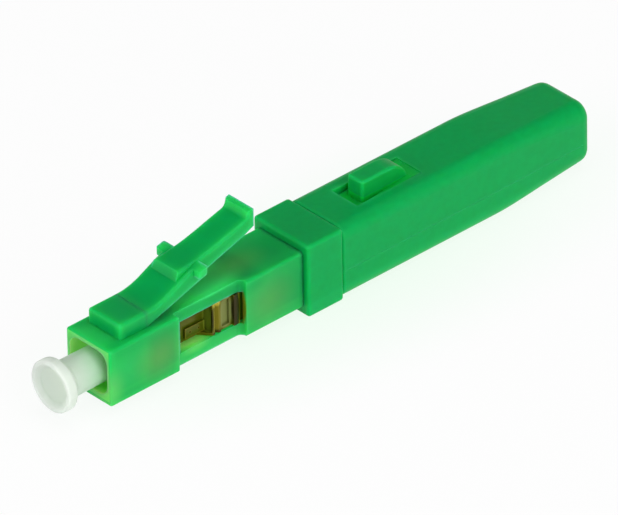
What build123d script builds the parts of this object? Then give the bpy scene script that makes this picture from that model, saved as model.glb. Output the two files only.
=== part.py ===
from build123d import *
import math
import os

# Field-installable fibre connector, millimetres.
# X runs along the optical axis from the front face of the plug housing (X = 0)
# to the cable end, Y is across, Z points to the latch side.

# Plug housing
PLUG_SIDE = 4.52
PLUG_EDGE = 0.2
PORT_WIDTH = 3.84
PORT_HEIGHT = 3.5
PORT_RISE = 0.13
PORT_CORNER = 0.95
PORT_DEPTH = 3.6
BULKHEAD = 0.8
CORE_HEIGHT = 2.62
NOSE_CORE_WIDTH = 2.54
CORE_WIDTH = 3.66
PLUG_REAR_LENGTH = 5.74
SPIGOT_LENGTH = 3.64

# Side recess and window of the plug housing
RECESS_START = 6.38
RECESS_END = 12.1
RECESS_DEPTH = 0.584
RECESS_RUNOUT = 0.49
RECESS_EDGE = 0.1
WINDOW_SETBACK = 0.55
WINDOW_OVERRUN = 0.48

# Latch arm
PAD_START = 1.5
PAD_HEIGHT = 1.2
PAD_EDGE = 0.24
PAD_CORNER = 0.2
ARM_WIDTH = 3.3
ARM_ROOT = 4.0
ARM_RISE = 0.316
ARM_UNDER_GAP = 0.03
ARM_NECK = 1.2
ARM_BEND = 5.6
ARM_BEND_RISE = 0.26
ARM_RAMP = 0.44
EAR_START = 8.35
EAR_END = 9.13
EAR_TOP = 5.15
EAR_THICKNESS = 0.56
EAR_SLOPE = 0.26
EAR_EDGE = 0.18
TAB_START = 7.0
TAB_WIDTH = 2.5
TAB_RISER = 0.3
TAB_STEP = 0.66
TAB_FRONT_RISE = 0.12
TAB_RISE = 0.25
TAB_EDGE = 0.2
TAB_END = 14.3
LIP_LENGTH = 0.85
LIP_HEIGHT = 0.62
LIP_CROWN = 0.45
LIP_LEAN = 0.15
LIP_FACE = 1.4
SEAM = 0.01

# Ferrule and its holder
FERRULE_DIAMETER = 1.25
FERRULE_LENGTH = 6.5
FERRULE_REACH = 0.9
FERRULE_TIP = 0.55
FERRULE_TIP_DIAMETER = 0.85
POLISH_ANGLE = 8.0
FIBRE_DIAMETER = 0.125
FIBRE_SETBACK = 0.02
FIBRE_PASS = 0.28
FLANGE_DIAMETER = 2.3
FLANGE_THICKNESS = 0.7
SHANK_DIAMETER = 1.8
SHANK_LENGTH = 1.8
FIT_GAP = 0.01
SLIDE_GAP = 0.06
FERRULE_PASS_GAP = 0.2

# Amber splice carrier
CARRIER_HALF_HEIGHT = 1.25
TONGUE_SETBACK = 0.02
TONGUE_WIDTH = 1.5
RIB_LENGTH = 0.77
RIB_WIDTH = 3.28
RIB_NOTCH = 0.18
GUSSET_LENGTH = 0.75
GUSSET_HEIGHT = 0.2
PANEL_LENGTH = 1.12
PANEL_WIDTH = 3.0
PANEL_RIM = 0.22
PANEL_DEPTH = 0.22
REAR_RIB_LENGTH = 0.5
REAR_RIB_LEAD = 0.25
CARRIER_WIDTH = 3.54
CARRIER_TAIL_LEAD = 1.1
CARRIER_TAIL_WIDTH = 2.48
CARRIER_OVERLAP = 1.2
SPRING_GUIDE_DIAMETER = 1.5
CHANNEL_START = 7.3
CHANNEL_BACK_WALL = 1.0
CHANNEL_WIDTH = 1.24
CHANNEL_FLOOR = 0.6
BLOCK_START = 8.05
BLOCK_HEIGHT = 0.18
BLOCK_LOW = -1.03
BLOCK_HIGH = -0.2
BLOCK_GAP = 0.12
DOT_DIAMETER = 0.16
DOT_SHARES = (0.24, 0.66)

# Mechanical splice in the carrier
GROOVE_WIDTH = 0.9
GROOVE_BASE_HEIGHT = 0.52
BASE_TOP = 0.03
LID_HEIGHT = 0.46
LID_LEAD = 0.05
LID_SPLIT = 10.9
LID_GAP = 0.04
CLAMP_SHEET = 0.08
CLAMP_SETBACK = 0.5
STUB_END = 10.6

# Fibre guide
GUIDE_DIAMETER = 1.0
GUIDE_SETBACK = 0.8
GUIDE_REACH = 1.6
GUIDE_MOUTH = 0.84
GUIDE_THROAT = 0.6

# Plug spring
SPRING_WIRE = 0.24
SPRING_MEAN_DIAMETER = 1.98
SPRING_TURNS = 6

# Rear body: spigot, collar and cable trough
SPIGOT_WALL = 0.5
SPIGOT_OUTER = 3.6
COLLAR_LENGTH = 3.32
COLLAR_WIDTH = 5.62
COLLAR_HEIGHT = 5.86
COLLAR_EDGE = 0.26
SPRING_CHAMBER = 5.4
FIBRE_HOLE = 1.2
TROUGH_LENGTH = 17.1
TROUGH_WIDTH = 3.4
TROUGH_BOTTOM = 1.95
TROUGH_WALL = 0.45
TROUGH_FLOOR = 0.4
TROUGH_FRONT_WALL = 0.9
TROUGH_BACK_LIP = 0.5

# Lid over the cable trough
LID_TOP = 1.95
LID_THICKNESS = 0.42
LID_APERTURE_LEAD = 0.2
LID_APERTURE_WIDTH = 2.5

# Boot
BOOT_WIDTH = 5.6
BOOT_HEIGHT = 5.84
BOOT_TAPER_LEAD = 2.61
BOOT_TAPER = 9.3
BOOT_END_WIDTH = 5.3
BOOT_END_HEIGHT = 4.9
BOOT_EASE = 0.25
BOOT_CORNER = 0.92
BOOT_END_CORNER = 1.3
BOOT_FRONT_EDGE = 0.18
BOOT_END_EDGE = 0.86
BOOT_BORE_WIDTH = 3.5
BOOT_BORE_HEIGHT = 4.0
BOOT_BORE_GAP = 0.34
CABLE_ENTRY_WIDTH = 2.2
CABLE_ENTRY_HEIGHT = 3.3
PARTING_HEIGHT = -0.62
PARTING_GROOVE = 0.05

# Slot in the boot and the release button in it
SLOT_SETBACK = 2.7
SLOT_LENGTH = 6.1
SLOT_BREADTH = 2.6
LEAF_GAP = 0.29
LEAF_ROOT_LENGTH = 0.6
LEAF_WIDTH = 2.4
LEAF_FRONT_TOP = 2.36
LEAF_REAR_TOP = 2.88
LEAF_THICKNESS = 0.4
BUTTON_SETBACK = 0.97
BUTTON_WIDTH = 1.55
BUTTON_TOP = 4.13
BUTTON_FLAT = 2.4
BUTTON_RAMP = 0.35
BUTTON_CROWN = 1.1
BUTTON_LENGTH = 4.29
BUTTON_EDGE = 0.2

# Cable jaws and buffer clamp
JAW_SETBACK = 0.36
JAW_LENGTH = 6.0
JAW_SHEET = 0.16
JAW_HEIGHT = 2.4
TOOTH_PITCH = 0.75
TOOTH_HEIGHT = 0.16
BUFFER_SETBACK = 1.54
BUFFER_LENGTH = 4.2
BUFFER_TOP = 0.75
BUFFER_SLOT = 0.92

# Dust cap
CAP_FLANGE_DIAMETER = 3.98
CAP_FRONT = 3.5
CAP_RIM = 0.75
CAP_CONE = 0.5
CAP_STEM_DIAMETER = 2.8
CAP_STEM_REACH = 2.9
CAP_STEM_DRAFT = 0.05
CAP_END_GAP = 0.5
CAP_ROUND = 0.14
CAP_SOFT_ROUND = 0.24
CAP_BORE = 1.29
CAP_DISH = 0.35
CAP_DISH_RIM = 0.32

# Values that follow from the sizes above
PLUG_HALF = PLUG_SIDE / 2
PLUG_LENGTH = RECESS_END + PLUG_REAR_LENGTH
WINDOW_START = RECESS_START + WINDOW_SETBACK
WINDOW_END = RECESS_END + WINDOW_OVERRUN
PAD_TOP = PLUG_HALF + PAD_HEIGHT
RECESS_FACE = PLUG_HALF - RECESS_DEPTH
SPIGOT_START = PLUG_LENGTH - SPIGOT_LENGTH
COLLAR_END = PLUG_LENGTH + COLLAR_LENGTH
CARRIER_TAIL_START = SPIGOT_START - CARRIER_TAIL_LEAD
CARRIER_END = SPIGOT_START + CARRIER_OVERLAP
CHANNEL_END = CARRIER_END - CHANNEL_BACK_WALL
GUIDE_START = CARRIER_END - GUIDE_SETBACK
GUIDE_END = CARRIER_END + GUIDE_REACH
BULKHEAD_BACK = PORT_DEPTH + BULKHEAD
HOLDER_FRONT = BULKHEAD_BACK + SEAM
FLANGE_BACK = HOLDER_FRONT + FLANGE_THICKNESS
TONGUE_START = WINDOW_START + TONGUE_SETBACK
REAR_RIB_END = RECESS_END + REAR_RIB_LEAD
REAR_RIB_START = REAR_RIB_END - REAR_RIB_LENGTH
RIB_END = REAR_RIB_START - PANEL_LENGTH
RIB_START = RIB_END - RIB_LENGTH
TROUGH_END = COLLAR_END + TROUGH_LENGTH
TROUGH_HOLLOW_START = COLLAR_END + TROUGH_FRONT_WALL
BOOT_STRAIGHT = TROUGH_END - BOOT_TAPER_LEAD
BOOT_END = BOOT_STRAIGHT + BOOT_TAPER
BOOT_TAIL_BORE_START = TROUGH_END + BOOT_BORE_GAP
SLOT_FRONT = COLLAR_END + SLOT_SETBACK
LEAF_FRONT = SLOT_FRONT + LEAF_GAP
LEAF_END = SLOT_FRONT + SLOT_LENGTH - SLIDE_GAP
LEAF_ROOT = LEAF_END - LEAF_ROOT_LENGTH
BUTTON_FRONT = SLOT_FRONT + BUTTON_SETBACK
BUTTON_END = BUTTON_FRONT + BUTTON_LENGTH
JAW_START = TROUGH_END - TROUGH_BACK_LIP - JAW_SETBACK - JAW_LENGTH
BUFFER_START = TROUGH_HOLLOW_START + BUFFER_SETBACK
LID_BOTTOM = LID_TOP - LID_THICKNESS
TROUGH_INSIDE = TROUGH_WIDTH / 2 - TROUGH_WALL
CHAMBER_END = SPIGOT_START + SPRING_CHAMBER
CHAMBER_HALF = SPIGOT_OUTER / 2 - SPIGOT_WALL


def block(x, y, z):
    """Return a box between the two ends given for each axis."""
    size = [abs(b - a) for a, b in (x, y, z)]
    middle = [(a + b) / 2 for a, b in (x, y, z)]
    return Pos(*middle) * Box(*size)


def beam(x, width, height, rise=0.0):
    """Return a box along X that is centred on the axis, or lifted by rise."""
    return block(x, (-width / 2, width / 2), (rise - height / 2, rise + height / 2))


def rod(x, diameter):
    """Return a cylinder on the optical axis between two X values."""
    turn = Pos((x[0] + x[1]) / 2, 0, 0) * Rot(0, 90, 0)
    return turn * Cylinder(diameter / 2, x[1] - x[0])


def side_profile(outline, width):
    """Extrude a closed outline of the XZ plane to both sides of Y = 0."""
    return extrude(Plane.XZ * make_face(outline), width / 2, both=True)


def rounded_slot(width, height, corner, rise, x):
    """Return a bar along X with a rounded rectangular section."""
    section = RectangleRounded(width, height, corner)
    start = Plane((x[0], 0, rise), x_dir=(0, 1, 0), z_dir=(1, 0, 0))
    return extrude(start * section, x[1] - x[0])


def revolved(points):
    """Turn a closed outline of (x, radius) points about the optical axis."""
    return revolve(Plane.XZ * make_face(Polyline(*points, close=True)), Axis.X)


def arm_underside(x):
    """Height of the latch arm's underside at x."""
    return PLUG_HALF + ARM_UNDER_GAP + ARM_RISE * (x - ARM_ROOT)


def arm_pad():
    """Pad at the latch arm's root, standing on the plug housing."""
    pad = block(
        (PAD_START, ARM_ROOT - SEAM),
        (-ARM_WIDTH / 2, ARM_WIDTH / 2),
        (PLUG_HALF - PLUG_EDGE, PLUG_HALF + PAD_HEIGHT),
    )
    front = pad.faces().sort_by(Axis.X)[0]
    pad = fillet(front.edges().filter_by(Axis.Z), PAD_CORNER)
    top = pad.faces().sort_by(Axis.Z)[-1]
    rear = top.edges().sort_by(Axis.X)[-1]
    return fillet([e for e in top.edges() if e != rear], PAD_EDGE)


def make_plug_frame():
    """Square plug housing with its port, core, side windows and latch pad."""
    shell = beam((0, PLUG_LENGTH), PLUG_SIDE, PLUG_SIDE)
    recess = (
        Polyline(
            (RECESS_END, RECESS_FACE),
            (RECESS_START, RECESS_FACE),
            (RECESS_START, PLUG_SIDE),
            (RECESS_END + RECESS_RUNOUT, PLUG_SIDE),
            (RECESS_END + RECESS_RUNOUT, PLUG_HALF),
        )
        + TangentArc(
            (RECESS_END, RECESS_FACE),
            (RECESS_END + RECESS_RUNOUT, PLUG_HALF),
            tangent=(1, 0),
        )
    )
    shell = fillet(
        shell.edges().filter_by(Axis.X) + shell.edges().group_by(Axis.X)[0], PLUG_EDGE
    )
    cut = extrude(make_face(recess), PLUG_SIDE, both=True)
    shell -= cut
    shell -= mirror(cut, Plane.XZ)
    steps = [
        e
        for e in shell.edges().filter_by(Axis.Z)
        if abs(e.center().X - RECESS_START) < SEAM and abs(e.center().Y) > RECESS_FACE + SEAM
    ]
    shell = fillet(steps, RECESS_EDGE)
    shell += arm_pad()
    shell -= rounded_slot(PORT_WIDTH, PORT_HEIGHT, PORT_CORNER, PORT_RISE, (0, PORT_DEPTH))
    shell -= rod((PORT_DEPTH, BULKHEAD_BACK), FERRULE_DIAMETER + 2 * FERRULE_PASS_GAP)
    shell -= beam((BULKHEAD_BACK, WINDOW_START), NOSE_CORE_WIDTH, CORE_HEIGHT)
    shell -= beam((WINDOW_START, WINDOW_END), PLUG_SIDE, CORE_HEIGHT)
    shell -= beam((WINDOW_START, SPIGOT_START), CORE_WIDTH, CORE_HEIGHT)
    shell -= beam((SPIGOT_START, PLUG_LENGTH), SPIGOT_OUTER + FIT_GAP, SPIGOT_OUTER + FIT_GAP)
    return shell


def make_latch_arm():
    """Flexing part of the latch: arm, ramped ears and press tab with its lip."""
    ear_front_top = EAR_TOP - EAR_SLOPE * (EAR_END - EAR_START)
    foot = ear_front_top - ARM_RAMP * (EAR_START - TAB_START)
    arm = Spline(
        (ARM_ROOT, PAD_TOP),
        (ARM_BEND, PAD_TOP + ARM_BEND_RISE),
        (TAB_START, foot),
        (EAR_START, ear_front_top),
        (EAR_END, EAR_TOP),
        tangents=((1, 0), (1, EAR_SLOPE)),
    ) + Polyline(
        (EAR_END, EAR_TOP),
        (EAR_END, arm_underside(EAR_END)),
        (ARM_ROOT + ARM_NECK, arm_underside(ARM_ROOT + ARM_NECK)),
        (ARM_ROOT, PLUG_HALF + ARM_UNDER_GAP),
        (ARM_ROOT, PAD_TOP),
    )
    ears = Polyline(
        (EAR_START, ear_front_top),
        (EAR_END, EAR_TOP),
        (EAR_END, EAR_TOP - EAR_THICKNESS),
        (EAR_START, ear_front_top - EAR_THICKNESS),
        close=True,
    )
    body = side_profile(arm, ARM_WIDTH)
    top_edges = body.edges().filter_by(GeomType.BSPLINE)
    body = fillet(top_edges, PAD_EDGE)
    wings = side_profile(ears, PLUG_SIDE)
    wings = fillet(wings.edges().filter_by(Axis.Z, tolerance=1), EAR_EDGE)
    return body + wings + make_tab(foot)


def make_tab(foot):
    """Press tab that rises over the ears and turns up in a lip at its end."""
    top_start = (TAB_START + TAB_RISER, foot + TAB_STEP)
    bend_rise = TAB_FRONT_RISE * (EAR_END - top_start[0])
    bend = (EAR_END, top_start[1] + bend_rise)
    lip_foot_x = TAB_END - LIP_LENGTH
    lip_foot = (lip_foot_x, bend[1] + TAB_RISE * (lip_foot_x - EAR_END))
    lip_top = (TAB_END - LIP_CROWN, lip_foot[1] + LIP_HEIGHT)
    end_top = (TAB_END, lip_top[1] + LIP_CROWN * TAB_RISE)
    end_foot = (TAB_END, end_top[1] - LIP_FACE)
    back = (TAB_END - LIP_LENGTH, arm_underside(TAB_END - LIP_LENGTH))
    outline = (
        Polyline((TAB_START, arm_underside(TAB_START)), (TAB_START, foot), top_start)
        + Spline(top_start, bend, lip_foot, tangents=((1, TAB_FRONT_RISE), (1, TAB_RISE)))
        + Spline(lip_foot, lip_top, tangents=((1, TAB_RISE), (LIP_LEAN, 1)))
        + Polyline(lip_top, end_top, end_foot, back, (TAB_START, arm_underside(TAB_START)))
    )
    tab = side_profile(outline, TAB_WIDTH)
    return fillet(tab.edges().filter_by(GeomType.BSPLINE), TAB_EDGE)


def make_dust_cap():
    """Soft cap: dished flange, conical back and a hollow stem over the ferrule."""
    flange = CAP_FLANGE_DIAMETER / 2
    stem = CAP_STEM_DIAMETER / 2
    bore = CAP_BORE / 2
    cone_end = CAP_RIM + CAP_CONE - CAP_FRONT
    cap = revolved(
        [
            (CAP_DISH - CAP_FRONT, 0),
            (CAP_DISH - CAP_FRONT, flange - CAP_DISH_RIM - CAP_DISH),
            (-CAP_FRONT, flange - CAP_DISH_RIM),
            (-CAP_FRONT, flange),
            (CAP_RIM - CAP_FRONT, flange),
            (cone_end, stem),
            (CAP_STEM_REACH, stem - CAP_STEM_DRAFT),
            (CAP_STEM_REACH, bore),
            (-FERRULE_REACH - CAP_END_GAP, bore),
            (-FERRULE_REACH - CAP_END_GAP, 0),
        ]
    )
    soft = (CAP_DISH - CAP_FRONT, CAP_RIM - CAP_FRONT, cone_end)
    circles = cap.edges().filter_by(GeomType.CIRCLE)
    cap = fillet([e for e in circles if min(abs(e.center().X - x) for x in soft) < SEAM], CAP_SOFT_ROUND)
    front = cap.edges().filter_by(GeomType.CIRCLE).group_by(Axis.X)[0]
    return fillet(front, CAP_ROUND)


def make_ferrule():
    """Zirconia ferrule with a bored centre and an angle-polished tip."""
    outer = FERRULE_DIAMETER / 2
    tip = FERRULE_TIP_DIAMETER / 2
    bore = FIBRE_DIAMETER / 2 + FIT_GAP
    back = FERRULE_LENGTH - FERRULE_REACH
    ferrule = revolved(
        [
            (-FERRULE_REACH, bore),
            (-FERRULE_REACH, tip),
            (FERRULE_TIP - FERRULE_REACH, outer),
            (back, outer),
            (back, bore),
        ]
    )
    polish = Pos(-FERRULE_REACH, 0, 0) * Rot(0, POLISH_ANGLE, 0)
    return ferrule - polish * block((-FERRULE_DIAMETER, 0), (-outer, outer), (-outer, outer))


def make_ferrule_holder():
    """Flanged metal holder pressed on the ferrule's rear end."""
    grip = FERRULE_DIAMETER / 2 + FIT_GAP
    pass_radius = FIBRE_PASS / 2
    ferrule_back = FERRULE_LENGTH - FERRULE_REACH
    return revolved(
        [
            (HOLDER_FRONT, grip),
            (HOLDER_FRONT, FLANGE_DIAMETER / 2),
            (FLANGE_BACK, FLANGE_DIAMETER / 2),
            (FLANGE_BACK, SHANK_DIAMETER / 2),
            (FLANGE_BACK + SHANK_LENGTH, SHANK_DIAMETER / 2),
            (FLANGE_BACK + SHANK_LENGTH, pass_radius),
            (ferrule_back + SEAM, pass_radius),
            (ferrule_back + SEAM, grip),
        ]
    )


def flank_cuts():
    """Cuts in the carrier's near flank: rib notch, panel and the block's two dots."""
    rib_middle = (RIB_START + RIB_END) / 2
    notch = Polyline(
        (rib_middle - RIB_NOTCH, -RIB_WIDTH / 2),
        (rib_middle, RIB_NOTCH - RIB_WIDTH / 2),
        (rib_middle + RIB_NOTCH, -RIB_WIDTH / 2),
        close=True,
    )
    cuts = extrude(make_face(notch), CORE_HEIGHT, both=True)
    cuts += block(
        (RIB_END + PANEL_RIM, REAR_RIB_START - PANEL_RIM),
        (-PANEL_WIDTH / 2, PANEL_DEPTH - PANEL_WIDTH / 2),
        (PANEL_RIM - CARRIER_HALF_HEIGHT, CARRIER_HALF_HEIGHT - PANEL_RIM),
    )
    for share in DOT_SHARES:
        along = BLOCK_START + share * (RIB_START - BLOCK_START)
        dot = Pos(along, -TONGUE_WIDTH / 2 - BLOCK_HEIGHT, (BLOCK_LOW + BLOCK_HIGH) / 2)
        cuts += dot * Rot(90, 0, 0) * Cylinder(DOT_DIAMETER / 2, BLOCK_HEIGHT)
    return cuts


def flank_bosses():
    """Raised block on the carrier's near flank and the gusset at the rib's foot."""
    flank = -TONGUE_WIDTH / 2
    boss = block(
        (BLOCK_START, RIB_START - BLOCK_GAP),
        (flank - BLOCK_HEIGHT, 0),
        (BLOCK_LOW, BLOCK_HIGH),
    )
    gusset = Polyline(
        (RIB_START - GUSSET_LENGTH, flank), (RIB_START, flank), (RIB_START, -RIB_WIDTH / 2), close=True
    )
    foot = Plane((0, 0, -CARRIER_HALF_HEIGHT)) * make_face(gusset)
    return boss + extrude(foot, GUSSET_HEIGHT, dir=(0, 0, 1))


def make_splice_holder():
    """Amber carrier that holds the splice, with the flanks seen in the window."""
    height = 2 * CARRIER_HALF_HEIGHT
    carrier = beam((FLANGE_BACK + SEAM, TONGUE_START), CARRIER_TAIL_WIDTH, height)
    carrier += beam((TONGUE_START, RIB_START), TONGUE_WIDTH, height)
    carrier += beam((RIB_START, RIB_END), RIB_WIDTH, height)
    carrier += beam((RIB_END, REAR_RIB_START), PANEL_WIDTH, height)
    carrier += beam((REAR_RIB_START, REAR_RIB_END), CARRIER_WIDTH, height)
    carrier += beam((REAR_RIB_END, CARRIER_TAIL_START), PANEL_WIDTH, height)
    carrier += beam((CARRIER_TAIL_START, CARRIER_END), CARRIER_TAIL_WIDTH, CARRIER_TAIL_WIDTH)
    carrier += rod((CARRIER_END, GUIDE_END), SPRING_GUIDE_DIAMETER)
    bosses, cuts = flank_bosses(), flank_cuts()
    carrier += bosses + mirror(bosses, Plane.XZ)
    carrier -= cuts + mirror(cuts, Plane.XZ)
    shank_end = FLANGE_BACK + SHANK_LENGTH + SEAM
    carrier -= rod((FLANGE_BACK, shank_end), SHANK_DIAMETER + 2 * FIT_GAP)
    carrier -= block(
        (CHANNEL_START, CHANNEL_END),
        (-CHANNEL_WIDTH / 2, CHANNEL_WIDTH / 2),
        (-CHANNEL_FLOOR, CORE_HEIGHT),
    )
    carrier -= rod((shank_end, GUIDE_START), FIBRE_PASS)
    carrier -= rod((GUIDE_START, GUIDE_END), GUIDE_DIAMETER + 2 * FIT_GAP)
    return carrier


def make_v_groove_base():
    """Base plate with the V groove that the two fibre ends lie in."""
    seat = FIBRE_DIAMETER / 2 * math.sqrt(2) + FIT_GAP
    base = block(
        (CHANNEL_START + SEAM, CHANNEL_END - SEAM),
        (-GROOVE_WIDTH / 2, GROOVE_WIDTH / 2),
        (BASE_TOP - GROOVE_BASE_HEIGHT, BASE_TOP),
    )
    half = seat + BASE_TOP
    groove = Polyline((-half, BASE_TOP), (0, -seat), (half, BASE_TOP), close=True)
    section = Plane((CHANNEL_START, 0, 0), x_dir=(0, 1, 0), z_dir=(1, 0, 0))
    return base - extrude(section * make_face(groove), CHANNEL_END - CHANNEL_START)


def make_groove_lid(x):
    """Flat lid over a stretch of the V groove."""
    low = BASE_TOP + LID_GAP
    lid = block(x, (-GROOVE_WIDTH / 2, GROOVE_WIDTH / 2), (low, low + LID_HEIGHT))
    return chamfer(lid.edges().filter_by(Axis.Y).group_by(Axis.Z)[0], LID_LEAD)


def make_clamp_spring():
    """Folded sheet spring, open to the near side, around the base and lids."""
    low = BASE_TOP - GROOVE_BASE_HEIGHT - FIT_GAP
    high = BASE_TOP + LID_GAP + LID_HEIGHT + FIT_GAP
    web = GROOVE_WIDTH / 2 + FIT_GAP
    x = (CHANNEL_START + CLAMP_SETBACK, CHANNEL_END - CLAMP_SETBACK)
    outer = block(x, (-GROOVE_WIDTH / 2, web + CLAMP_SHEET), (low - CLAMP_SHEET, high + CLAMP_SHEET))
    inner = block(x, (-GROOVE_WIDTH, web), (low, high))
    corners = outer.edges().filter_by(Axis.X).group_by(Axis.Y)[-1]
    return fillet(corners, CLAMP_SHEET) - inner


def make_fibre_guide():
    """Funnel that leads the bare fibre into the V groove."""
    outer = GUIDE_DIAMETER / 2
    throat = FIBRE_PASS / 2
    return revolved(
        [
            (GUIDE_START + SEAM, throat),
            (GUIDE_START + SEAM, outer),
            (GUIDE_END, outer),
            (GUIDE_END, GUIDE_MOUTH / 2),
            (GUIDE_START + GUIDE_THROAT, throat),
        ]
    )


def make_plug_spring():
    """Coil spring between the carrier's shoulder and the rear body's wall."""
    wire = SPRING_WIRE / 2
    height = CHAMBER_END - CARRIER_END - SPRING_WIRE - 2 * FIT_GAP
    radius = SPRING_MEAN_DIAMETER / 2
    path = Helix(height / SPRING_TURNS, height, radius)
    section = Plane(path @ 0, z_dir=path % 0) * Circle(wire)
    coil = sweep(section, path)
    return Pos(CARRIER_END + wire + FIT_GAP, 0, 0) * Rot(0, 90, 0) * coil


def make_body_frame():
    """Rear body: spigot in the plug, square collar and cable trough in one piece."""
    body = beam((COLLAR_END, TROUGH_END), TROUGH_WIDTH, LID_BOTTOM + TROUGH_BOTTOM)
    body = Pos(0, 0, (LID_BOTTOM - TROUGH_BOTTOM) / 2) * body
    collar = beam((PLUG_LENGTH, COLLAR_END), COLLAR_WIDTH, COLLAR_HEIGHT)
    body += fillet(collar.edges(), COLLAR_EDGE)
    body += beam((SPIGOT_START, PLUG_LENGTH), SPIGOT_OUTER, SPIGOT_OUTER)
    body -= beam((SPIGOT_START, CHAMBER_END), 2 * CHAMBER_HALF, 2 * CHAMBER_HALF)
    body -= rod((CHAMBER_END, TROUGH_HOLLOW_START), FIBRE_HOLE)
    body -= block(
        (TROUGH_HOLLOW_START, TROUGH_END - TROUGH_BACK_LIP),
        (-TROUGH_INSIDE, TROUGH_INSIDE),
        (TROUGH_FLOOR - TROUGH_BOTTOM, LID_TOP),
    )
    body -= block(
        (TROUGH_HOLLOW_START, TROUGH_END),
        (-CABLE_ENTRY_WIDTH / 2, CABLE_ENTRY_WIDTH / 2),
        (TROUGH_FLOOR - TROUGH_BOTTOM, LID_TOP),
    )
    return body


def make_clamp_lid():
    """Lid on the cable trough, with the aperture that the release leaf dips into."""
    lid = block(
        (COLLAR_END + SEAM, TROUGH_END),
        (-TROUGH_WIDTH / 2, TROUGH_WIDTH / 2),
        (LID_BOTTOM, LID_TOP),
    )
    aperture = block(
        (LEAF_FRONT - LID_APERTURE_LEAD, LEAF_ROOT),
        (-LID_APERTURE_WIDTH / 2, LID_APERTURE_WIDTH / 2),
        (LID_BOTTOM, LID_TOP),
    )
    return lid - aperture


def make_release_button():
    """Sprung leaf with the button that stands up through the boot's slot."""
    foot = LID_TOP + SEAM
    leaf = Polyline(
        (LEAF_FRONT, LEAF_FRONT_TOP - LEAF_THICKNESS),
        (LEAF_FRONT, LEAF_FRONT_TOP),
        (BUTTON_END, LEAF_REAR_TOP),
        (LEAF_END, LEAF_REAR_TOP),
        (LEAF_END, foot),
        (LEAF_ROOT, foot),
        (LEAF_ROOT - LEAF_THICKNESS, LEAF_REAR_TOP - LEAF_THICKNESS),
        close=True,
    )
    ramp_start = (BUTTON_FRONT + BUTTON_FLAT, BUTTON_TOP)
    ramp_end = (BUTTON_END, LEAF_REAR_TOP)
    outline = Spline(ramp_start, ramp_end, tangents=((1, 0), (BUTTON_RAMP, -1))) + Polyline(
        ramp_end,
        (BUTTON_END, LEAF_REAR_TOP - LEAF_THICKNESS / 2),
        (BUTTON_FRONT, LEAF_FRONT_TOP - LEAF_THICKNESS / 2),
        (BUTTON_FRONT, BUTTON_TOP),
        ramp_start,
    )
    button = side_profile(outline, BUTTON_WIDTH)
    crown = button.edges().filter_by(lambda e: e.center().Z > BUTTON_TOP - BUTTON_CROWN)
    return side_profile(leaf, LEAF_WIDTH) + fillet(crown, BUTTON_EDGE)


def boot_section(x, skin):
    """Rounded section of the boot at x, drawn in by the thickness of a skin."""
    along = max(0.0, (x - BOOT_STRAIGHT) / (BOOT_END - BOOT_STRAIGHT))
    if along < BOOT_EASE:
        share = along * along / (2 * BOOT_EASE)
    else:
        share = along - BOOT_EASE / 2
    share /= 1 - BOOT_EASE / 2
    width = BOOT_WIDTH + (BOOT_END_WIDTH - BOOT_WIDTH) * share - 2 * skin
    height = BOOT_HEIGHT + (BOOT_END_HEIGHT - BOOT_HEIGHT) * share - 2 * skin
    corner = BOOT_CORNER + (BOOT_END_CORNER - BOOT_CORNER) * share - skin
    plane = Plane((x, 0, 0), x_dir=(0, 1, 0), z_dir=(1, 0, 0))
    return plane * RectangleRounded(width, height, corner)


def boot_form(skin):
    """Outer form of the boot, or the same form less a skin."""
    straight = extrude(boot_section(COLLAR_END, skin), BOOT_STRAIGHT - COLLAR_END)
    stations = [0, BOOT_EASE / 2, BOOT_EASE, (1 + BOOT_EASE) / 2, 1]
    length = BOOT_END - BOOT_STRAIGHT
    tail = loft([boot_section(BOOT_STRAIGHT + s * length, skin) for s in stations])
    return straight, tail


def make_boot():
    """Tapered boot with its slot, parting line, bore and cable entry."""
    straight, tail = boot_form(0)
    front_edges = straight.edges().group_by(Axis.X)[0]
    end_edges = tail.edges().group_by(Axis.X)[-1]
    boot = fillet(front_edges, BOOT_FRONT_EDGE) + fillet(end_edges, BOOT_END_EDGE)
    line = block(
        (COLLAR_END + BOOT_FRONT_EDGE, BOOT_END - BOOT_END_EDGE),
        (-BOOT_WIDTH, BOOT_WIDTH),
        (PARTING_HEIGHT - PARTING_GROOVE / 2, PARTING_HEIGHT + PARTING_GROOVE / 2),
    )
    core, core_tail = boot_form(PARTING_GROOVE)
    boot -= line - core - core_tail
    boot -= beam((COLLAR_END, BOOT_TAIL_BORE_START), BOOT_BORE_WIDTH, BOOT_BORE_HEIGHT)
    boot -= beam((COLLAR_END, BOOT_END), CABLE_ENTRY_WIDTH, CABLE_ENTRY_HEIGHT)
    boot -= block(
        (SLOT_FRONT, SLOT_FRONT + SLOT_LENGTH),
        (-SLOT_BREADTH / 2, SLOT_BREADTH / 2),
        (0, BOOT_HEIGHT),
    )
    return boot


def make_cable_jaw():
    """Toothed metal strip on the near wall of the trough."""
    back = -TROUGH_INSIDE + FIT_GAP
    face = back + JAW_SHEET
    jaw = block((JAW_START, JAW_START + JAW_LENGTH), (back, face), (-JAW_HEIGHT / 2, JAW_HEIGHT / 2))
    tooth = make_face(
        Polyline(
            (0, face), (TOOTH_PITCH, face), (TOOTH_PITCH / 2, face + TOOTH_HEIGHT), close=True
        )
    )
    tooth = extrude(tooth, JAW_HEIGHT / 2, both=True)
    for index in range(int(JAW_LENGTH / TOOTH_PITCH)):
        jaw += Pos(JAW_START + index * TOOTH_PITCH, 0, 0) * tooth
    return jaw


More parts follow.
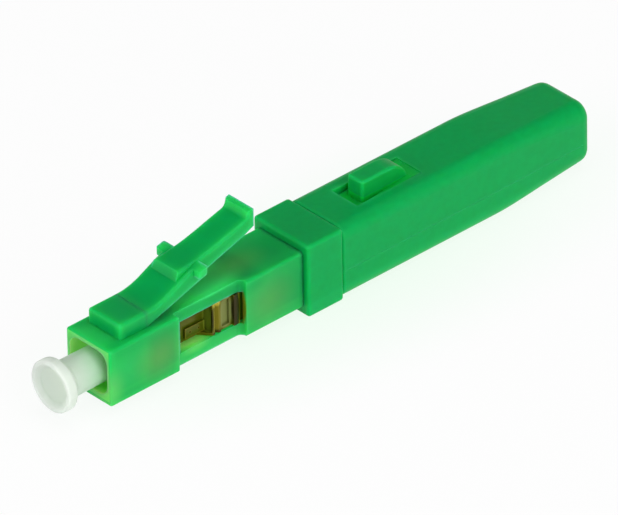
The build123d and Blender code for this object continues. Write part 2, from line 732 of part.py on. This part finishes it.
def make_buffer_clamp():
    """Block with an open channel that grips the fibre's coating."""
    low = TROUGH_FLOOR - TROUGH_BOTTOM + FIT_GAP
    x = (BUFFER_START, BUFFER_START + BUFFER_LENGTH)
    side = TROUGH_INSIDE - FIT_GAP
    clamp = block(x, (-side, side), (low, BUFFER_TOP))
    clamp -= rod(x, BUFFER_SLOT)
    return clamp - block(x, (-BUFFER_SLOT / 2, BUFFER_SLOT / 2), (0, BUFFER_TOP))


near_jaw = make_cable_jaw()
parts = {
    "plug_frame": make_plug_frame(),
    "latch_arm": make_latch_arm(),
    "dust_cap": make_dust_cap(),
    "ferrule": make_ferrule(),
    "ferrule_holder": make_ferrule_holder(),
    "fibre_stub": rod((FIBRE_SETBACK - FERRULE_REACH, STUB_END), FIBRE_DIAMETER),
    "splice_holder": make_splice_holder(),
    "v_groove_base": make_v_groove_base(),
    "v_groove_lid_front": make_groove_lid((CHANNEL_START + SEAM, LID_SPLIT - LID_GAP / 2)),
    "v_groove_lid_rear": make_groove_lid((LID_SPLIT + LID_GAP / 2, CHANNEL_END - SEAM)),
    "clamp_spring": make_clamp_spring(),
    "fibre_guide": make_fibre_guide(),
    "plug_spring": make_plug_spring(),
    "body_frame": make_body_frame(),
    "clamp_lid": make_clamp_lid(),
    "release_button": make_release_button(),
    "boot": make_boot(),
    "cable_jaw_near": near_jaw,
    "cable_jaw_far": mirror(near_jaw, Plane.XZ),
    "buffer_clamp": make_buffer_clamp(),
}

os.makedirs("parts", exist_ok=True)
for name, part in parts.items():
    export_step(part, f"parts/{name}.step")
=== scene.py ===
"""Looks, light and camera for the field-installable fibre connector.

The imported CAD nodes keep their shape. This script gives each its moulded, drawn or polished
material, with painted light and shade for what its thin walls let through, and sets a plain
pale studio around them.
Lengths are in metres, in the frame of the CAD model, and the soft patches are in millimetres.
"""

from __future__ import annotations

import logging
import math
from dataclasses import dataclass, field
from enum import Enum

import bpy
from mathutils import Matrix, Vector


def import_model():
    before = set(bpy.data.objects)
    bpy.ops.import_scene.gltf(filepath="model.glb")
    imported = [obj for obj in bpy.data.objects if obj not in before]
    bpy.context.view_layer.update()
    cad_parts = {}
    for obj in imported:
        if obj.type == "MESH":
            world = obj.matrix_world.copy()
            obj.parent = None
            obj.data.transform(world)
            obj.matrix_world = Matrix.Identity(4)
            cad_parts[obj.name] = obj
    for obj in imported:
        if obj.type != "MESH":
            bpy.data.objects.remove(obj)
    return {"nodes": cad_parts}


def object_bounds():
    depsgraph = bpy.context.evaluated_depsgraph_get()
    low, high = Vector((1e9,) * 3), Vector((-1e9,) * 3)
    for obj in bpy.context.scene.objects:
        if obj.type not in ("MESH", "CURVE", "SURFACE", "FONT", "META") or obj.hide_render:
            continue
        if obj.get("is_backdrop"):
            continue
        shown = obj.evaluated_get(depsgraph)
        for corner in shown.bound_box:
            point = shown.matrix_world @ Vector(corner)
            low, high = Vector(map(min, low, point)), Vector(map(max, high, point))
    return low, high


LOG = logging.getLogger("connector")
MM = 0.001
WHITE = (1.0, 1.0, 1.0, 1.0)

# The sRGB curve: a straight foot up to the knee, then a power curve.
SRGB_KNEE = 0.04045
SRGB_SLOPE = 12.92
SRGB_OFFSET = 0.055
SRGB_POWER = 2.4

# Height of a surface's relief as a share of its grain's size.
RELIEF_SHARE = 0.25
THICKNESS_SAMPLES = 6


class Grain(Enum):
    """How the surface of a moulding was left by its mould."""

    POLISHED = 0.0
    SATIN = 0.12
    SPARK = 0.3


def linear(hex_colour: str) -> tuple[float, float, float, float]:
    """Turn an sRGB colour into the linear values that the shader takes.

    Args:
        hex_colour: six hex digits, with or without a leading hash sign.

    Returns:
        Red, green, blue and an alpha of one, all linear.
    """
    digits = hex_colour.lstrip("#")
    channels = []
    for start in (0, 2, 4):
        value = int(digits[start : start + 2], 16) / 255
        if value <= SRGB_KNEE:
            channels.append(value / SRGB_SLOPE)
        else:
            channels.append(((value + SRGB_OFFSET) / (1 + SRGB_OFFSET)) ** SRGB_POWER)
    return (*channels, 1.0)


def direction(azimuth: float, elevation: float) -> Vector:
    """Return the way from the part to something that stands around it.

    Args:
        azimuth: degrees around the part, from the -Y side towards +X.
        elevation: degrees above the horizon.

    Returns:
        The direction, one unit long.
    """
    turn, lift = math.radians(azimuth), math.radians(elevation)
    return Vector(
        (math.sin(turn) * math.cos(lift), -math.cos(turn) * math.cos(lift), math.sin(lift))
    )


def add_node(tree: bpy.types.NodeTree, kind: str, **values: object) -> bpy.types.Node:
    """Add a node and fill its sockets or its own properties.

    Args:
        tree: the node tree to add to.
        kind: the node's Blender type name.
        **values: socket names, with _ for a space, or property names, and their values.

    Returns:
        The new node.
    """
    node = tree.nodes.new(kind)
    for name, value in values.items():
        socket = node.inputs.get(name.replace("_", " "))
        if socket is None:
            setattr(node, name, value)
        elif isinstance(value, bpy.types.NodeSocket):
            tree.links.new(value, socket)
        else:
            socket.default_value = value
    return node


def new_material(name: str) -> tuple[bpy.types.Material, bpy.types.NodeTree]:
    """Make a material with an empty node tree.

    Args:
        name: the material's name.

    Returns:
        The material and its node tree.
    """
    material = bpy.data.materials.new(name)
    material.use_nodes = True
    material.node_tree.nodes.clear()
    return material, material.node_tree


def blend_colours(
    tree: bpy.types.NodeTree, share: bpy.types.NodeSocket, first: object, second: object
) -> bpy.types.NodeSocket:
    """Blend two colours by a share.

    Args:
        tree: the node tree to add to.
        share: the socket with the second colour's share.
        first: a linear colour or a colour socket.
        second: a linear colour or a colour socket.

    Returns:
        The socket with the blended colour.
    """
    blend = add_node(tree, "ShaderNodeMix", data_type="RGBA", Factor=share)
    sockets = [socket for socket in blend.inputs if socket.type == "RGBA"]
    for socket, value in zip(sockets, (first, second)):
        if isinstance(value, bpy.types.NodeSocket):
            tree.links.new(value, socket)
        else:
            socket.default_value = value
    return next(socket for socket in blend.outputs if socket.type == "RGBA")


def add_relief(
    tree: bpy.types.NodeTree, place: bpy.types.NodeSocket, size: float, strength: float
) -> bpy.types.NodeSocket:
    """Add a fine relief to a surface.

    Args:
        tree: the material's node tree.
        place: the coordinates in metres.
        size: how large the relief's bumps are, in metres.
        strength: how much of the relief shows.

    Returns:
        The socket with the surface's new normal.
    """
    noise = add_node(tree, "ShaderNodeTexNoise", Vector=place, Scale=1 / size)
    bump = add_node(
        tree,
        "ShaderNodeBump",
        Strength=strength,
        Distance=size * RELIEF_SHARE,
        Height=noise.outputs["Fac"],
    )
    return bump.outputs["Normal"]


def greatest(
    tree: bpy.types.NodeTree, values: list[bpy.types.NodeSocket]
) -> bpy.types.NodeSocket:
    """Find the greatest of some values.

    Args:
        tree: the node tree to add to.
        values: the sockets to compare.

    Returns:
        The socket with the greatest value.
    """
    result = values[0]
    for value in values[1:]:
        either = add_node(tree, "ShaderNodeMath", operation="MAXIMUM")
        tree.links.new(result, either.inputs[0])
        tree.links.new(value, either.inputs[1])
        result = either.outputs[0]
    return result


def round_distance(
    tree: bpy.types.NodeTree, place: bpy.types.NodeSocket
) -> bpy.types.NodeSocket:
    """Measure how far a place lies from the middle, the same all round."""
    measure = add_node(tree, "ShaderNodeVectorMath", operation="LENGTH", Vector=place)
    return measure.outputs["Value"]


def box_distance(tree: bpy.types.NodeTree, place: bpy.types.NodeSocket) -> bpy.types.NodeSocket:
    """Measure how far a place lies from the middle along its longest axis.

    Args:
        tree: the node tree to add to.
        place: the coordinates, as shares of the box's half sizes.

    Returns:
        The socket with the distance, which is one on the box.
    """
    size = add_node(tree, "ShaderNodeVectorMath", operation="ABSOLUTE", Vector=place)
    axes = add_node(tree, "ShaderNodeSeparateXYZ", Vector=size.outputs["Vector"])
    return greatest(tree, [axes.outputs[axis] for axis in "XYZ"])


def fold_sides(tree: bpy.types.NodeTree, place: bpy.types.NodeSocket) -> bpy.types.NodeSocket:
    """Fold the far side onto the near one, so that both flanks get the same patches.

    Args:
        tree: the node tree to add to.
        place: the coordinates in metres.

    Returns:
        The coordinates with every Y made negative.
    """
    axes = add_node(tree, "ShaderNodeSeparateXYZ", Vector=place)
    width = add_node(tree, "ShaderNodeMath", operation="ABSOLUTE", Value=axes.outputs["Y"])
    near = add_node(tree, "ShaderNodeMath", operation="SUBTRACT")
    near.inputs[0].default_value = 0.0
    tree.links.new(width.outputs[0], near.inputs[1])
    folded = add_node(
        tree, "ShaderNodeCombineXYZ", X=axes.outputs["X"], Y=near.outputs[0], Z=axes.outputs["Z"]
    )
    return folded.outputs["Vector"]


@dataclass(frozen=True)
class PaintedPatch:
    """A soft patch of painted light or shade: a glow, a highlight, bounced light, or the shade
    of what lies behind a thin wall.

    The centre and the half sizes are in millimetres. The patch is full up to the core, a share
    of the half sizes, and fades out from there.
    """

    colour: str
    centre: tuple[float, float, float]
    spread: tuple[float, float, float]
    strength: float
    core: float = 0.25
    boxy: bool = False

    def add(
        self, tree: bpy.types.NodeTree, place: bpy.types.NodeSocket, colour: object
    ) -> bpy.types.NodeSocket:
        """Lay the patch over a colour.

        Args:
            tree: the material's node tree.
            place: the coordinates in metres.
            colour: the linear colour or the colour socket under the patch.

        Returns:
            The socket with the patched colour.
        """
        nearby = add_node(
            tree,
            "ShaderNodeMapping",
            vector_type="TEXTURE",
            Vector=place,
            Location=tuple(c * MM for c in self.centre),
            Scale=tuple(c * MM for c in self.spread),
        ).outputs["Vector"]
        share = add_node(
            tree,
            "ShaderNodeMapRange",
            interpolation_type="SMOOTHSTEP",
            Value=box_distance(tree, nearby) if self.boxy else round_distance(tree, nearby),
            From_Min=self.core,
            From_Max=1.0,
            To_Min=self.strength,
            To_Max=0.0,
        )
        return blend_colours(tree, share.outputs["Result"], colour, linear(self.colour))


@dataclass(frozen=True)
class Polymer:
    """A moulded plastic, ceramic or glass, seen as a colour with some light passing through."""

    name: str
    colour: str
    deep_colour: str
    roughness: float
    ior: float
    grain: Grain
    gloss: float = 0.5
    gloss_colour: str = "#FFFFFF"
    scatter: float = 0.0
    scatter_radius: tuple[float, float, float] = (1.0, 1.0, 1.0)
    scatter_scale: float = 0.001
    transmission: float = 0.0
    # Painted light and shade: a paler colour on thin walls and edges, within thin_reach, and
    # soft patches.
    painted_thin_light: str = ""
    thin_reach: float = 0.001
    painted_patches: tuple[PaintedPatch, ...] = ()
    mottle_size: float = 0.004
    grain_size: float = 0.00009

    def build(self) -> bpy.types.Material:
        """Make the node material.

        Returns:
            The new material.
        """
        material, tree = new_material(self.name)
        place = add_node(tree, "ShaderNodeTexCoord").outputs["Object"]
        shader = add_node(
            tree,
            "ShaderNodeBsdfPrincipled",
            Base_Color=self.colour_socket(tree, place),
            Roughness=self.roughness,
            IOR=self.ior,
            Specular_IOR_Level=self.gloss,
            Specular_Tint=linear(self.gloss_colour),
            Subsurface_Weight=self.scatter,
            Subsurface_Radius=self.scatter_radius,
            Subsurface_Scale=self.scatter_scale,
            Transmission_Weight=self.transmission,
            Normal=add_relief(tree, place, self.grain_size, self.grain.value),
        )
        add_node(tree, "ShaderNodeOutputMaterial", Surface=shader.outputs["BSDF"])
        return material

    def colour_socket(
        self, tree: bpy.types.NodeTree, place: bpy.types.NodeSocket
    ) -> bpy.types.NodeSocket:
        """Build the colour: mottled resin, with painted light on thin walls and edges, and
        painted patches of light and shade.

        Args:
            tree: the material's node tree.
            place: the coordinates in metres.

        Returns:
            The socket that carries the colour.
        """
        mottle = add_node(tree, "ShaderNodeTexNoise", Vector=place, Scale=1 / self.mottle_size)
        colour = blend_colours(
            tree, mottle.outputs["Fac"], linear(self.colour), linear(self.deep_colour)
        )
        # Painted light: a paler colour where rays cast inwards soon meet the far side, on thin
        # walls and edges.
        if self.painted_thin_light:
            depth = add_node(
                tree,
                "ShaderNodeAmbientOcclusion",
                inside=True,
                only_local=True,
                samples=THICKNESS_SAMPLES,
                Distance=self.thin_reach,
            )
            colour = blend_colours(
                tree, depth.outputs["AO"], linear(self.painted_thin_light), colour
            )
        # Painted light and shade: glows, highlights and the shade of parts behind the walls.
        if self.painted_patches:
            flank = fold_sides(tree, place)
            for painted_patch in self.painted_patches:
                colour = painted_patch.add(tree, flank, colour)
        return colour


@dataclass(frozen=True)
class Metal:
    """A drawn or rolled metal with fine lines along X."""

    name: str
    colour: str
    roughness: float
    line_size: float = 0.00006
    line_depth: float = 0.2
    line_squeeze: tuple[float, float, float] = (0.05, 1.0, 1.0)

    def build(self) -> bpy.types.Material:
        """Make the node material.

        Returns:
            The new material.
        """
        material, tree = new_material(self.name)
        place = add_node(tree, "ShaderNodeTexCoord").outputs["Object"]
        stretched = add_node(
            tree, "ShaderNodeMapping", Vector=place, Scale=self.line_squeeze
        ).outputs["Vector"]
        shader = add_node(
            tree,
            "ShaderNodeBsdfPrincipled",
            Base_Color=linear(self.colour),
            Metallic=1.0,
            Roughness=self.roughness,
            Normal=add_relief(tree, stretched, self.line_size, self.line_depth),
        )
        add_node(tree, "ShaderNodeOutputMaterial", Surface=shader.outputs["BSDF"])
        return material


# Leaf-green polyester moulding with a deep green top and paler sides, through which light
# wanders for a millimetre. Its thin walls and edges get a paler colour as painted light. Olive
# patches are painted shade where the carrier and the ferrule holder lie behind the wall, the
# lime ones painted light on walls lit from outside and below, and the darker rear is painted
# shade.
GREEN_PLUG = Polymer(
    name="green_polyester_plug",
    colour="#00A44E",
    deep_colour="#009B4B",
    roughness=0.42,
    ior=1.57,
    grain=Grain.SATIN,
    gloss=0.26,
    gloss_colour="#A0FFD0",
    scatter=1.0,
    scatter_radius=(0.5, 1.0, 0.5),
    scatter_scale=0.0025,
    painted_thin_light="#28C05A",
    thin_reach=0.0007,
    # Painted shade at the rear; painted light along the bottom, at the front, in the port, under
    # the latch and below the window; painted shade for the parts behind the walls.
    painted_patches=(
        PaintedPatch("#008F44", (16.4, 0.0, 0.0), (3.6, 4.0, 4.0), 0.7, 0.4),
        PaintedPatch("#46DC64", (9.0, 0.0, -2.3), (12.0, 3.0, 1.3), 0.7, 0.1, boxy=True),
        PaintedPatch("#64C864", (0.0, -1.4, -1.0), (1.8, 2.2, 2.4), 0.75, 0.2),
        PaintedPatch("#A5FF82", (1.9, 0.0, 0.13), (1.95, 2.12, 2.05), 1.0, 0.93, boxy=True),
        PaintedPatch("#3CE678", (9.8, 0.0, 2.26), (4.6, 2.3, 0.35), 0.9, 0.5),
        PaintedPatch("#A0FF78", (8.4, 0.0, -1.4), (3.2, 2.0, 1.0), 1.0, 0.5),
        PaintedPatch("#78A050", (4.6, -2.3, -0.1), (3.0, 1.2, 2.5), 0.45, 0.0),
        PaintedPatch("#6EA050", (14.6, -2.3, -0.3), (3.2, 1.2, 2.8), 0.4, 0.0),
        PaintedPatch("#64B450", (13.2, 0.0, 2.3), (3.6, 1.9, 1.4), 0.45, 0.0),
        PaintedPatch("#6E7A14", (12.6, -1.75, 0.0), (0.25, 0.55, 1.7), 1.0, 0.6),
    ),
)

# The same resin in thicker walls: a little duller and finely speckled. The floor's light along
# the bottom edges is painted light, the warmer green on the button and in its slot is painted
# bounced light, and the paler edges are painted light too.
GREEN_BOOT = Polymer(
    name="green_polyester_boot",
    colour="#00A852",
    deep_colour="#009849",
    roughness=0.48,
    ior=1.57,
    grain=Grain.SATIN,
    gloss=0.26,
    gloss_colour="#A0FFD0",
    scatter=1.0,
    scatter_radius=(0.5, 1.0, 0.5),
    scatter_scale=0.0016,
    painted_thin_light="#28B95F",
    thin_reach=0.0003,
    mottle_size=0.0005,
    # Painted light along the bottom edges, and painted bounced light on the button and in its
    # slot.
    painted_patches=(
        PaintedPatch("#1EC86E", (32.0, 0.0, -2.95), (26.0, 4.0, 1.5), 0.7, 0.1, boxy=True),
        PaintedPatch("#009B37", (27.0, 0.0, 3.45), (2.3, 0.9, 0.55), 0.9, 0.8, boxy=True),
        PaintedPatch("#00BE3C", (26.9, 0.0, 2.2), (3.2, 1.32, 0.71), 0.9, 0.95, boxy=True),
    ),
)

# Low-density polyethylene: milky, soft and waxy, with painted green light from the port on its
# stem.
MILKY_CAP = Polymer(
    name="milky_polyethylene",
    colour="#CCD5C9",
    deep_colour="#C0CDC1",
    roughness=0.45,
    ior=1.51,
    grain=Grain.SATIN,
    gloss=0.25,
    scatter=1.0,
    scatter_radius=(1.0, 1.0, 0.95),
    scatter_scale=0.003,
    painted_patches=(PaintedPatch("#9BDCA5", (3.0, 0.0, 0.0), (6.0, 6.0, 6.0), 1.0, 0.3),),
)

# Polyetherimide: see-through amber that looks olive against the green housing, with painted
# shade that makes its corners nearly black, painted gold highlights at the rib's edges, painted
# light on the pane, and a fine grain from the sparked mould.
AMBER = Polymer(
    name="amber_polyetherimide",
    colour="#5F6A10",
    deep_colour="#485406",
    roughness=0.2,
    ior=1.66,
    grain=Grain.SPARK,
    gloss=0.15,
    gloss_colour="#FFDC64",
    transmission=0.35,
    painted_thin_light="#A08C28",
    thin_reach=0.00012,
    # Painted light on the pane and the rib, painted shade in corners and at the rib's foot,
    # painted gold highlight on the rib's top.
    painted_patches=(
        PaintedPatch("#929C5A", (11.3, -1.5, 0.0), (0.8, 0.9, 1.5), 0.9, 0.6),
        PaintedPatch("#8C8420", (10.35, -1.64, 0.0), (0.45, 0.35, 1.5), 0.8, 0.6),
        PaintedPatch("#141000", (12.05, -1.9, 0.0), (0.35, 0.7, 1.9), 1.0, 0.7),
        PaintedPatch("#1E1900", (10.4, -1.6, -1.3), (0.6, 0.6, 0.4), 0.9, 0.5),
        PaintedPatch("#8CA032", (9.9, -1.1, 0.0), (0.3, 0.5, 1.6), 0.8, 0.5),
        PaintedPatch("#141000", (9.96, -1.64, 0.0), (0.16, 0.2, 1.2), 0.9, 0.5),
        PaintedPatch("#E6D74B", (10.35, -1.64, 1.2), (0.5, 0.6, 0.4), 0.9, 0.3),
    ),
    mottle_size=0.0006,
)

# Clear moulding of the splice: slightly grey, glossy.
CLEAR = Polymer(
    name="clear_splice_resin",
    colour="#C9CCBE",
    deep_colour="#BFC3B4",
    roughness=0.2,
    ior=1.57,
    grain=Grain.POLISHED,
    transmission=0.6,
)

# Zirconia: dense white ceramic with a wet gloss.
ZIRCONIA = Polymer(
    name="polished_zirconia",
    colour="#F2F1EA",
    deep_colour="#EDECE4",
    roughness=0.08,
    ior=2.15,
    grain=Grain.POLISHED,
    scatter=0.2,
    scatter_scale=0.0003,
)

# Silica fibre: a clear glass thread.
SILICA = Polymer(
    name="silica_fibre",
    colour="#F4F8FA",
    deep_colour="#EEF4F8",
    roughness=0.02,
    ior=1.46,
    grain=Grain.POLISHED,
    transmission=1.0,
)

# Spring and clamp steel: grey, bright, with drawing lines.
STEEL = Metal(name="drawn_stainless_steel", colour="#B9BABC", roughness=0.28)


def dress(node: bpy.types.Object, material: bpy.types.Material) -> None:
    """Give every material slot of a CAD object the same material.

    Args:
        node: the CAD object.
        material: the material to show.
    """
    if not node.material_slots:
        node.data.materials.append(material)
    for slot in node.material_slots:
        slot.material = material
    LOG.info("%s: %s", node.name, material.name)


@dataclass
class Plug:
    """Plug end: housing, latch, ferrule with its holder and spring, and dust cap."""

    green_nodes: tuple[str, ...] = ("plug_frame", "latch_arm")
    cap_node: str = "dust_cap"
    ferrule_node: str = "ferrule"
    steel_nodes: tuple[str, ...] = ("ferrule_holder", "plug_spring")

    def dress(self, nodes: dict[str, bpy.types.Object]) -> None:
        """Give the plug's CAD nodes their materials.

        Args:
            nodes: the CAD objects by name.
        """
        green = GREEN_PLUG.build()
        steel = STEEL.build()
        for name in self.green_nodes:
            dress(nodes[name], green)
        for name in self.steel_nodes:
            dress(nodes[name], steel)
        dress(nodes[self.cap_node], MILKY_CAP.build())
        dress(nodes[self.ferrule_node], ZIRCONIA.build())


@dataclass
class Splice:
    """Mechanical splice in its amber carrier, and the grips for the cable behind it."""

    carrier_node: str = "splice_holder"
    clear_nodes: tuple[str, ...] = (
        "v_groove_base",
        "v_groove_lid_front",
        "v_groove_lid_rear",
        "fibre_guide",
        "buffer_clamp",
    )
    steel_nodes: tuple[str, ...] = ("clamp_spring", "cable_jaw_near", "cable_jaw_far")
    fibre_node: str = "fibre_stub"

    def dress(self, nodes: dict[str, bpy.types.Object]) -> None:
        """Give the splice's CAD nodes their materials.

        Args:
            nodes: the CAD objects by name.
        """
        clear = CLEAR.build()
        steel = STEEL.build()
        for name in self.clear_nodes:
            dress(nodes[name], clear)
        for name in self.steel_nodes:
            dress(nodes[name], steel)
        dress(nodes[self.carrier_node], AMBER.build())
        dress(nodes[self.fibre_node], SILICA.build())


@dataclass
class Rear:
    """Rear body, its lid, the release button and the boot."""

    green_nodes: tuple[str, ...] = ("body_frame", "clamp_lid", "release_button", "boot")

    def dress(self, nodes: dict[str, bpy.types.Object]) -> None:
        """Give the rear part's CAD nodes their materials.

        Args:
            nodes: the CAD objects by name.
        """
        green = GREEN_BOOT.build()
        for name in self.green_nodes:
            dress(nodes[name], green)


@dataclass(frozen=True)
class Lamp:
    """A large soft lamp that faces the middle of the part."""

    name: str
    azimuth: float
    elevation: float
    power: float
    size: float
    distance: float = 0.35

    def build(self, target: Vector) -> None:
        """Add the lamp and turn it to the target.

        Args:
            target: the point that the lamp faces.
        """
        data = bpy.data.lights.new(self.name, "AREA")
        data.shape = "DISK"
        data.size = self.size
        data.energy = self.power
        lamp = bpy.data.objects.new(self.name, data)
        ray = direction(self.azimuth, self.elevation)
        lamp.location = target + ray * self.distance
        lamp.rotation_euler = ray.to_track_quat("Z", "Y").to_euler()
        bpy.context.scene.collection.objects.link(lamp)


@dataclass
class Studio:
    """Pale floor, soft lamps, white surroundings and the camera."""

    target: Vector = field(default_factory=lambda: Vector((22 * MM, 0, 0)))
    floor_colour: str = "#FAFAFA"
    floor_roughness: float = 0.9
    floor_span: float = 1.6
    glow_colour: str = "#FFFFFF"
    floor_glow: float = 0.93
    # Painted light: green bounced light laid on the floor near the part.
    bounce: PaintedPatch = PaintedPatch("#F2FFF4", (24.0, 0.0, -3.0), (34.0, 14.0, 14.0), 1.0, 0.1)
    low_light: float = 1.0
    high_light: float = 0.04
    low_edge: float = 0.1
    high_edge: float = 0.42
    lamps: tuple[Lamp, ...] = (
        Lamp("key_lamp", -5, 20, 0.72, 0.3),
        Lamp("front_lamp", -100, 18, 0.6, 0.3),
        Lamp("top_lamp", 0, 80, 0.6, 0.3),
    )
    camera_azimuth: float = -42.047
    camera_elevation: float = 33.602
    camera_roll: float = -1.046
    camera_distance: float = 1.0
    camera_slide: tuple[float, float] = (-1.124 * MM, -0.946 * MM)
    camera_reach: tuple[float, float] = (0.01, 10.0)
    lens: float = 842.38

    def build(self, floor_height: float) -> None:
        """Build the floor, the light and the camera.

        Args:
            floor_height: height of the lowest point of the part.
        """
        self.add_floor(floor_height)
        self.add_world()
        for lamp in self.lamps:
            lamp.build(self.target)
        self.add_camera()
        bpy.context.scene.view_settings.view_transform = "Standard"
        LOG.info("studio built with %d lamps", len(self.lamps))

    def add_floor(self, height: float) -> None:
        """Add the pale floor under the part.

        Args:
            height: height of the floor.
        """
        mesh = bpy.data.meshes.new("floor")
        half = self.floor_span / 2
        corners = [(-half, -half), (half, -half), (half, half), (-half, half)]
        mesh.from_pydata([(x, y, height) for x, y in corners], [], [(0, 1, 2, 3)])
        mesh.materials.append(self.floor_material())
        floor = bpy.data.objects.new("floor", mesh)
        bpy.context.scene.collection.objects.link(floor)
        floor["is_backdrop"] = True

    def floor_material(self) -> bpy.types.Material:
        """Make the floor's material: matt, near white to the eye, with painted green bounced
        light near the part.

        Returns:
            The new material.
        """
        material, tree = new_material("pale_floor")
        shader = add_node(
            tree,
            "ShaderNodeBsdfPrincipled",
            Base_Color=linear(self.floor_colour),
            Roughness=self.floor_roughness,
        )
        path = add_node(tree, "ShaderNodeLightPath")
        kinds = ("Is Camera Ray", "Is Glossy Ray", "Is Transmission Ray")
        seen = greatest(tree, [path.outputs[kind] for kind in kinds])
        share = add_node(tree, "ShaderNodeMath", operation="MULTIPLY")
        tree.links.new(seen, share.inputs[0])
        share.inputs[1].default_value = self.floor_glow
        place = add_node(tree, "ShaderNodeTexCoord").outputs["Object"]
        # Painted light: the green of bounced light is painted into the floor's white glow.
        glow = self.bounce.add(tree, place, linear(self.glow_colour))
        light = add_node(tree, "ShaderNodeEmission", Color=glow, Strength=1.0)
        mix = add_node(tree, "ShaderNodeMixShader", Fac=share.outputs[0])
        tree.links.new(shader.outputs["BSDF"], mix.inputs[1])
        tree.links.new(light.outputs["Emission"], mix.inputs[2])
        add_node(tree, "ShaderNodeOutputMaterial", Surface=mix.outputs["Shader"])
        return material

    def add_world(self) -> None:
        """Light the part from low all round: white at the horizon, dim overhead."""
        world = bpy.data.worlds.new("white_room")
        bpy.context.scene.world = world
        world.use_nodes = True
        tree = world.node_tree
        tree.nodes.clear()
        place = add_node(tree, "ShaderNodeTexCoord").outputs["Generated"]
        height = add_node(tree, "ShaderNodeSeparateXYZ", Vector=place).outputs["Z"]
        ramp = add_node(
            tree,
            "ShaderNodeMapRange",
            interpolation_type="SMOOTHSTEP",
            Value=height,
            From_Min=self.low_edge,
            From_Max=self.high_edge,
            To_Min=self.low_light,
            To_Max=self.high_light,
        )
        room = add_node(
            tree, "ShaderNodeBackground", Color=WHITE, Strength=ramp.outputs["Result"]
        )
        add_node(tree, "ShaderNodeOutputWorld", Surface=room.outputs["Background"])

    def add_camera(self) -> None:
        """Add the camera that sees what the photograph sees."""
        back = direction(self.camera_azimuth, self.camera_elevation)
        turn = math.radians(self.camera_azimuth)
        right = Vector((math.cos(turn), math.sin(turn), 0))
        up = back.cross(right)
        roll = math.radians(self.camera_roll)
        across = right * math.cos(roll) + up * math.sin(roll)
        upward = up * math.cos(roll) - right * math.sin(roll)
        data = bpy.data.cameras.new("camera")
        data.lens = self.lens
        data.clip_start, data.clip_end = self.camera_reach
        camera = bpy.data.objects.new("camera", data)
        place = self.target + back * self.camera_distance
        place += across * self.camera_slide[0] + upward * self.camera_slide[1]
        turned = Matrix((across, upward, back)).transposed().to_4x4()
        camera.matrix_world = Matrix.Translation(place) @ turned
        bpy.context.scene.collection.objects.link(camera)
        bpy.context.scene.camera = camera


def plain_box(box: tuple[Vector, Vector]) -> list[list[float]]:
    """Return a box as plain lists of numbers."""
    return [list(map(float, corner)) for corner in box]


def main() -> None:
    """Build the dressed part and its studio."""
    logging.basicConfig(level=logging.INFO, format="%(message)s")
    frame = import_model()
    cad_box = plain_box(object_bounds())
    nodes = frame["nodes"]
    Plug().dress(nodes)
    Splice().dress(nodes)
    Rear().dress(nodes)
    Studio().build(cad_box[0][2])


if __name__ == "__main__":
    main()
